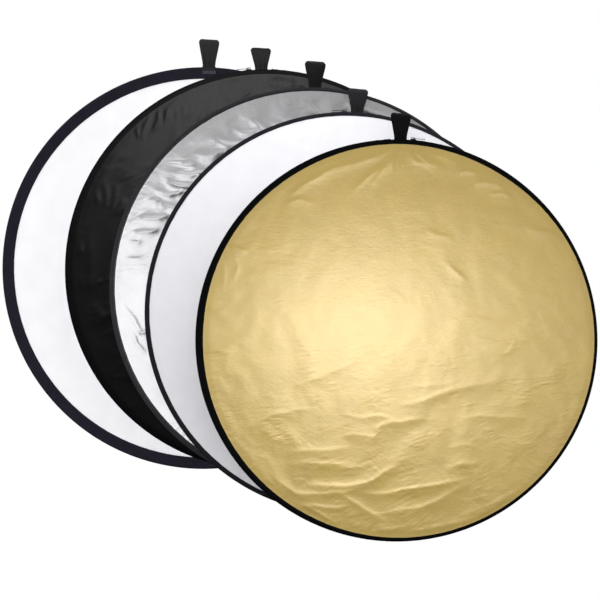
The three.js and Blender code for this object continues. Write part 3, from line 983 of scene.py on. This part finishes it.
def soft_height(disc, swell, folds=(), creased=0.0):
    """Quiet cloth: swell scales its broad waves, creased its ripples and fan."""
    def height(x, z):
        gap, angle = rim_gap(disc, x, z)
        rise = np.zeros(x.shape)
        add_folds(rise, x, z, folds, disc.seed + 1, upper=(1, 1, 1.6))
        rise += (swell * 0.9 * layered(x / 210, z / 230, disc.seed + 60, 2)
                 + 0.7 * creased * fan(x, z, disc.seed + 65, 1.0))
        add_ripples(rise, x, z,
                    (creased * 0.6, 78, 80, 17, disc.seed + 70, 2.0),
                    (creased * 0.4, 30, 60, 15, disc.seed + 80, 2.0))
        return settle(disc, rise, gap, angle, base=0.6, dome=0.9, gather=0.7 * swell, reach=12)
    return height


def diffuser_height(disc):
    def height(x, z):
        gap = BINDING_INNER - np.hypot(x, z)
        waves = 0.5 * layered(x / 230, z / 210, 77, 2) * smooth(0, 60, gap)
        puckers = gathers(np.arctan2(x, z), gap, disc.seed, height=0.25, reach=14)
        return (waves + puckers) * smooth(-2, 6, gap)
    return height


FRONT_HEIGHT = {
    "gold": gold_height, "silver": silver_height,
    "white": lambda disc: soft_height(disc, 0.8),
    "black": lambda disc: soft_height(disc, 1.0, BLACK_FOLDS, 3.6),
}


# ------------------------------------------------------------------ zip slider
def rounded(name, node, disc, body, width):
    """A slider part's CAD shape again with its edges rounded."""
    bm = bmesh.new()
    bm.from_mesh(NODES[node].data)
    bmesh.ops.remove_doubles(bm, verts=bm.verts, dist=1e-6)
    bmesh.ops.dissolve_limit(bm, angle_limit=0.02, verts=bm.verts, edges=bm.edges)
    mesh = bpy.data.meshes.new(name)
    bm.to_mesh(mesh)
    bm.free()
    # the import's stored normals don't survive the rounding
    if "custom_normal" in mesh.attributes:
        mesh.attributes.remove(mesh.attributes["custom_normal"])
    mesh.materials.clear()
    mesh.materials.append(MATERIALS["slider"])
    piece = bpy.data.objects.new(name, mesh)
    bpy.context.scene.collection.objects.link(piece)
    disc.pieces.objects.link(piece)
    bevel = piece.modifiers.new("round", "BEVEL")
    bevel.width, bevel.segments = width * MM, 2
    bevel.limit_method, bevel.angle_limit = "ANGLE", math.radians(30)
    graph = bpy.context.evaluated_depsgraph_get()
    done = bpy.data.meshes.new_from_object(piece.evaluated_get(graph))
    piece.modifiers.clear()
    piece.data = done
    done.polygons.foreach_set("use_smooth", [True] * len(done.polygons))
    done.set_sharp_from_angle(angle=math.radians(40))
    places = np.zeros(len(done.vertices) * 3, np.float32)
    done.vertices.foreach_get("co", places)
    places = places.reshape(-1, 3) - disc.center
    axes = (disc.across, disc.depth, disc.loopward)
    store_own(done, np.stack([places @ axis for axis in axes], -1))
    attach(piece, body)
    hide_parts(node)


def rim_block(name, disc, size, radius, angle, slot, body):
    """A small bevelled block on the rim, size (along, across, out) in mm, centred at radius."""
    bm = bmesh.new()
    bmesh.ops.create_cube(bm, size=1.0)
    bmesh.ops.scale(bm, vec=size, verts=bm.verts)
    bmesh.ops.bevel(bm, geom=list(bm.edges), offset=0.28 * min(size), segments=3, affect="EDGES")
    x, y, z = np.array([tuple(v.co) for v in bm.verts]).T
    z = z + radius
    points = np.stack([x * math.cos(angle) + z * math.sin(angle), y,
                       -x * math.sin(angle) + z * math.cos(angle)], -1)
    bm.verts.index_update()
    faces = [tuple(v.index for v in face.verts) for face in bm.faces]
    bm.free()
    block = make(name, disc, points, faces, "slider", slot, ride=False)
    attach(block, body)


def zip_parts(disc):
    name = disc.name
    make(f"{name}_zip_chain", disc, *zip_ring(), "coil", "zip_coil", f"{name}_zip")
    corner = NODES[f"{name}_zip_slider"].data.vertices[0].co
    offset = corner @ Vector(disc.across) - float(disc.center @ disc.across)
    sign = 1 if offset > 0 else -1
    rim_block(f"{name}_zip_end_stop", disc, (6.0, 6.4, 4.0), 398.7, -sign * (ZIP_GAP + 0.011),
              "zip_coil", disc.body)
    rim_block(f"{name}_slider_crown", disc, (10.0, 5.2, 3.8), 400.0, sign * math.radians(3.6),
              "slider_metal", f"{name}_slider")
    rounded(f"{name}_slider_body", f"{name}_zip_slider", disc, f"{name}_slider", 0.28)
    rounded(f"{name}_pull_tab", f"{name}_zip_pull", disc, f"{name}_pull", 0.3)


# ------------------------------------------------------------------ hanging loop
LOOP_TOP = 49.6        # height of the fold that the tables below are drawn for
# one leg of the loop above its foot: height over the pivot, half depth
LOOP_LEG = [(6, 1.9), (14, 3.4), (24, 4.7), (34, 5.6), (41, 5.9), (45.2, 5.4), (47.8, 4.1),
            (49.1, 2.2)]
# half width of the strap by height over the pivot: heights, half widths
LOOP_WIDTH = ([-8, 0, 4, 10, 20, 32, 41, 46, 49.6],
              [12.6, 12.6, 12.9, 13.8, 15.8, 18.2, 19.8, 20.2, 19.4])
# the diffuser's strap foot over the binding, from the rim's middle inwards: radius, y
FOOT_SECTION = [(401.5, 0.0), (401.35, 2.6), (400.6, 5.0), (398.8, 6.5), (396.6, 6.85),
                (393, 6.25), (389, 5.1), (386.6, 4.4), (386.1, 3.9)]
FOOT_HALF_WIDTH = 13.4
FOOT_THICK = 1.1


def band_faces(rows, columns):
    """Faces of a closed band: a grid, the same grid behind it, and the edges between."""
    behind = rows * columns
    front = quads(rows, columns)
    faces = [*map(tuple, front), *map(tuple, front[:, ::-1] + behind)]
    index = np.arange(behind).reshape(rows, columns)
    for line, flip in ((index[:, 0], True), (index[:, -1], False),
                       (index[0], False), (index[-1], True)):
        for a, b in zip(line, line[1:]):
            wall = (a, b, b + behind, a + behind)
            faces.append(wall[::-1] if flip else wall)
    return faces


def strap(disc, foot, top):
    """Webbing folded into a loop: up the front, over the top and down the back.

    foot is where both ends are sewn (radius, mm), top the height of the fold."""
    base = disc.pivot_radius
    scale = top / LOOP_TOP
    phase = disc.seed % 7
    leg = [(foot - base, 0.95), (-2, 0.95), (1.5, 1.0)] + [(h * scale, q) for h, q in LOOP_LEG]
    center = curve([(h, -q) for h, q in leg] + [(top, 0)] + leg[::-1], 5)
    # even out the points, and find the direction across the strap's thickness
    run = distances(center)
    even = np.linspace(0, run[-1], 150)
    height, depth = (np.interp(even, run, column)[:, None] for column in center.T)
    step_height, step_depth = np.gradient(height[:, 0]), np.gradient(depth[:, 0])
    step = np.hypot(step_height, step_depth)
    normal_height, normal_depth = (-step_depth / step)[:, None], (step_height / step)[:, None]
    u = np.linspace(-1, 1, 34)
    half_width = np.interp(height / scale, *LOOP_WIDTH)
    edge = np.sqrt(np.clip(1 - u**16, 0, 1)) * 0.9 + 0.1
    thick = 0.75
    pleat = (np.clip(1 - (height - 1) / (30 * scale), 0, 1) ** 1.2
             * (0.75 * np.cos(u * 11.0 + phase) + 0.45 * np.cos(u * 19.0 + 2 * phase)))
    pleat = pleat * np.clip((height + 6) / 6, 0, 1)
    sag = 0.5 * noise(u[None, :] * 1.3 + 3 * phase, height / 18 + 5, 70 + phase)
    sag = sag * np.clip(height / 20, 0, 1)
    faces_points = []
    for face in (1, -1):
        up = height + face * thick * normal_height * edge + normal_height * (pleat + sag)
        out = depth + face * thick * normal_depth * edge + normal_depth * (pleat * 0.9 + sag)
        level = np.clip(up / top, 0, 1.05)
        # rounded corners at the fold and a tilt of the top edge
        up = up - 2.4 * np.clip(np.abs(u) - 0.74, 0, 1) ** 2 / 0.0676 * smooth(0.8, 1.0, level)
        up = up - disc.tilt * u * smooth(0.1, 1.0, level)
        side = half_width * u + disc.lean * level
        turned = math.radians(disc.twist) * smooth(0.0, 1.0, level)
        x = side * np.cos(turned) - out * np.sin(turned)
        y = side * np.sin(turned) + out * np.cos(turned)
        faces_points.append(np.stack([x, y, up + base], -1).reshape(-1, 3))
    return np.concatenate(faces_points), band_faces(len(even), len(u))


def strap_foot():
    """Both ends of the webbing carried down the diffuser's binding."""
    radius, y = curve(FOOT_SECTION, 4).T
    radius, y = np.concatenate([radius[::-1], radius[1:]]), np.concatenate([-y[::-1], y[1:]])
    step_radius, step_y = np.gradient(radius), np.gradient(y)
    step = np.hypot(step_radius, step_y)
    normal_radius, normal_y = step_y / step, -step_radius / step
    outward = np.sign((normal_radius * (radius - 390) + normal_y * y) + 1e-9)
    x = np.linspace(-FOOT_HALF_WIDTH, FOOT_HALF_WIDTH, 22)
    layers = []
    for offset in (0.0, -FOOT_THICK):
        layer = np.broadcast_arrays(x, (y + normal_y * offset * outward)[:, None],
                                    (radius + normal_radius * offset * outward)[:, None])
        layers.append(np.stack(layer, -1).reshape(-1, 3))
    return np.concatenate(layers), band_faces(len(radius), len(x))


def foot_stitching(side):
    """Four staggered rows of stitches through the strap foot."""
    placed = []
    pitch = 2.9
    for row in range(4):
        radius = 387.6 + 1.6 * row
        y = side * (np.interp(radius, [386.6, 389, 393], [4.4, 5.1, 6.25]) + 0.1)
        for k in range(9):
            x = -4 * pitch + pitch * k + pitch / 2 * (row % 2)
            placed.append([[x, y, radius], [1, 0, 0], [0, 0, 1]])
    return threads(placed, length=2.4, radius=0.4, end=0.4)


def hang_strap(disc):
    name = disc.name
    corners = np.array([v.co for v in NODES[f"{name}_loop"].data.vertices], float)
    top = float(((corners - disc.pivot) @ disc.loopward).max()) / MM - 0.5
    points, faces = strap(disc, 395.6 if disc.back else 400.9, top)
    piece = make(f"{name}_hang_strap", disc, points, faces, disc.strap, "webbing", ride=False)
    STRAPS.objects.link(piece)
    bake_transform(piece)
    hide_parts(f"{name}_loop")
    if disc.back:
        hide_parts(f"{name}_loop_tab")


# ------------------------------------------------------------------ discs
SIDES = ((-1, "front"), (1, "back"))


def hoop(disc):
    """The CAD hoop and its sleeve, in steel."""
    for node, material in (("hoop", "hoop"), ("hoop_sleeve", "sleeve")):
        piece = NODES[f"{disc.name}_{node}"]
        piece.data.materials.clear()
        piece.data.materials.append(MATERIALS[material])
        disc.pieces.objects.link(piece)


def covered_disc(disc):
    name = disc.name
    sheet(f"{name}_core_silk", disc, 60, CORE_RADIUS, 0.15,
          lambda x, z: 0.02 * noise(x / 60, z / 60, 5), -1, "diffusion", "diffusion_fabric",
          f"{name}_core_sheet", thick=0.3, under_cells=30)
    make(f"{name}_core_edge_binding", disc, *core_binding(), "binding", "binding_fabric",
         f"{name}_core_binding")
    sheet(f"{name}_front_cloth", disc, disc.cells, COVER_RADIUS, COVER_Y,
          FRONT_HEIGHT[name](disc), -1, name, f"{name}_fabric", f"{name}_front_face")
    coated = disc.back in ("gold", "silver")
    back_height = soft_height(disc, swell=1.0 if coated else 0.9, creased=0.9 if coated else 0.3)
    sheet(f"{name}_back_cloth", disc, 120, COVER_RADIUS, COVER_Y, back_height, 1,
          disc.back, f"{disc.back}_fabric", f"{name}_back_face")
    for side, tag in SIDES:
        make(f"{name}_{tag}_edge_tape", disc, *rim_tape(disc, side), disc.tape, "rim_tape",
             f"{name}_{tag}_rim_tape")
        angles = stitch_angles(pitch=4.2)
        lift = side * (8.25 + 0.315 * rim_noise(angles, 60, 1.5, disc.seed + 2)
                       + 0.35 * rim_noise(angles, 17, 7.5, disc.seed + 3))
        points, faces = stitches(angles, tape_inner(disc, angles) + 2.1, lift,
                                 length=2.9, thread_radius=0.31)
        thread = "thread_pale" if name == "silver" and side < 0 else "thread"
        make(f"{name}_{tag}_stitching", disc, points, faces, thread, "rim_tape")
    zip_parts(disc)


def bare_disc(disc):
    name = disc.name
    sheet(f"{name}_silk", disc, 180, SILK_RADIUS, 0.2, diffuser_height(disc), -1, "diffusion",
          "diffusion_fabric", f"{name}_core_sheet", thick=0.4)
    make(f"{name}_edge_binding", disc, *edge_binding(), "binding", "binding_fabric",
         f"{name}_core_binding")
    for side, tag in SIDES:
        points, faces = stitches(stitch_angles(pitch=3.6), 379.2, side * 1.98,
                                 length=2.5, thread_radius=0.2604)
        make(f"{name}_{tag}_inner_stitching", disc, points, faces, "thread", "binding_fabric")


def bare_strap_foot(disc):
    name = disc.name
    make(f"{name}_strap_foot", disc, *strap_foot(), "strap", "webbing", f"{name}_loop_tab")
    for side, tag in SIDES:
        make(f"{name}_{tag}_foot_stitching", disc, *foot_stitching(side), "thread_light",
             "webbing")


for disc in DISCS.values():
    hoop(disc)
    if disc.back:
        covered_disc(disc)
    else:
        bare_disc(disc)
    hang_strap(disc)
    if not disc.back:
        bare_strap_foot(disc)


# ------------------------------------------------------------------ stage, light, camera (m)
def lay_floor(left=-3.2, right=2.8, front=-3.0, back=0.8, z=-0.535):
    mesh = bpy.data.meshes.new("floor")
    mesh.from_pydata([(left, front, z), (right, front, z), (right, back, z), (left, back, z)],
                     [], [(0, 1, 2, 3)])
    floor = bpy.data.objects.new("floor", mesh)
    bpy.context.scene.collection.objects.link(floor)
    mesh.materials.append(
        Material("floor_pale").finish(Base_Color=(0.80, 0.80, 0.80, 1), Roughness=0.9))
    # the room below the floor line is dark in the reflections, as in front of a studio stand
    floor.visible_glossy = False
    floor.visible_diffuse = False


def light_world():
    """White to the camera; as light, dimmer towards front, back and below."""
    world = bpy.data.worlds.new("studio")
    bpy.context.scene.world = world
    world.use_nodes = True
    nodes = Nodes(world.node_tree)
    nodes.tree.nodes.clear()

    def fade(value, start, end, at_start, at_end):
        return nodes.node("ShaderNodeMapRange", settings={"interpolation_type": "SMOOTHSTEP"},
                          Value=value, From_Min=start, From_Max=end,
                          To_Min=at_start, To_Max=at_end).outputs[0]

    direction = nodes.node("ShaderNodeTexCoord").outputs["Generated"]
    parts = nodes.node("ShaderNodeSeparateXYZ", direction).outputs
    depth = fade(nodes.math("ABSOLUTE", parts["Y"]), start=0.35, end=0.98,
                 at_start=1.30, at_end=0.62)
    height = fade(parts["Z"], start=-0.60, end=-0.05, at_start=0.15, at_end=1.0)
    lit = nodes.node("ShaderNodeBackground", Strength=nodes.math("MULTIPLY", depth, height))
    seen = nodes.node("ShaderNodeBackground", Color=(1, 1, 1, 1))
    camera_ray = nodes.node("ShaderNodeLightPath").outputs["Is Camera Ray"]
    mix = nodes.node("ShaderNodeMixShader", camera_ray, lit.outputs[0], seen.outputs[0])
    nodes.node("ShaderNodeOutputWorld", mix.outputs[0])


def softbox(name, at, toward, size, glow, to, size_y=None):
    """A camera-invisible soft light of radiance glow that reaches one collection only."""
    data = bpy.data.lights.new(name, "AREA")
    data.shape = "ELLIPSE" if size_y else "DISK"
    data.size = size
    if size_y:
        data.size_y = size_y
    data.energy = glow * math.pi * math.pi * size * (size_y or size) / 4
    light = bpy.data.objects.new(name, data)
    bpy.context.scene.collection.objects.link(light)
    light.location = at
    light.rotation_mode = "QUATERNION"
    light.rotation_quaternion = (Vector(toward) - Vector(at)).to_track_quat("-Z", "Y")
    light.visible_camera = False
    # each disc is lit on its own: the others neither take this light nor stand in its way
    light.light_linking.receiver_collection = to
    light.light_linking.blocker_collection = to


def beside(disc, dx=0.0, dz=0.0):
    """A point dx and dz from a disc's centre."""
    x, y, z = DISCS[disc].center
    return x + dx, y, z + dz


def facing(name, disc, dx, dz, away, size, glow, size_y=None):
    """A soft light straight in front of a point of a disc."""
    x, y, z = beside(disc, dx, dz)
    softbox(name, (x, y - away, z), (x, y, z), size, glow, DISCS[disc].pieces, size_y)


def place_lights():
    facing("gold_key", "gold", dx=-0.075, dz=0.022, away=0.60, size=0.36, glow=5.8, size_y=0.17)
    facing("gold_fill", "gold", dx=-0.01, dz=-0.02, away=0.70, size=0.90, glow=1.05, size_y=0.42)
    facing("silver_key", "silver", dx=-0.42, dz=-0.16, away=0.60, size=0.50, glow=1.30,
           size_y=0.80)
    facing("silver_top", "silver", dx=-0.20, dz=0.26, away=0.60, size=0.42, glow=0.22)
    facing("black_key", "black", dx=-0.03, dz=0.40, away=0.50, size=0.62, glow=8.0)
    x, y, z = beside("white", dx=-0.07, dz=0.26)
    softbox("white_key", at=(x, -0.60, z + 0.30), toward=(x, y, z), size=0.9, glow=1.75,
            to=DISCS["white"].pieces)
    facing("white_fill", "white", dx=-0.30, dz=-0.16, away=0.70, size=0.8, glow=0.40)
    x, y, z = beside("diffuser")
    softbox("diffuser_key", at=(x - 0.4, -2.2, z + 0.3), toward=(x, y, z), size=2.0, glow=4.6,
            to=DISCS["diffuser"].pieces)
    softbox("strap_top", at=(-0.2, -0.05, 1.25), toward=(-0.2, 0.09, 0.45), size=1.0, glow=2.4,
            to=STRAPS, size_y=0.4)


def place_camera(view_width=1.191, lens=1400, sensor=36):
    """A distant camera that sees view_width (m) across at y = 0."""
    data = bpy.data.cameras.new("camera")
    data.lens, data.sensor_width, data.clip_end = lens, sensor, 200
    camera = bpy.data.objects.new("camera", data)
    bpy.context.scene.collection.objects.link(camera)
    camera.location = (-0.1914, -view_width * lens / sensor, 0.0804)
    camera.rotation_euler = (math.pi / 2, 0, 0)
    bpy.context.scene.camera = camera


lay_floor()
light_world()
place_lights()
# the pieces inside and behind a face don't show in the shiny face behind them
for disc in DISCS.values():
    for piece in disc.pieces.objects:
        if not piece.name.endswith(("front_cloth", "diffuser_silk", "hang_strap")):
            piece.visible_glossy = False
place_camera()
bpy.context.scene.view_settings.view_transform = "Standard"
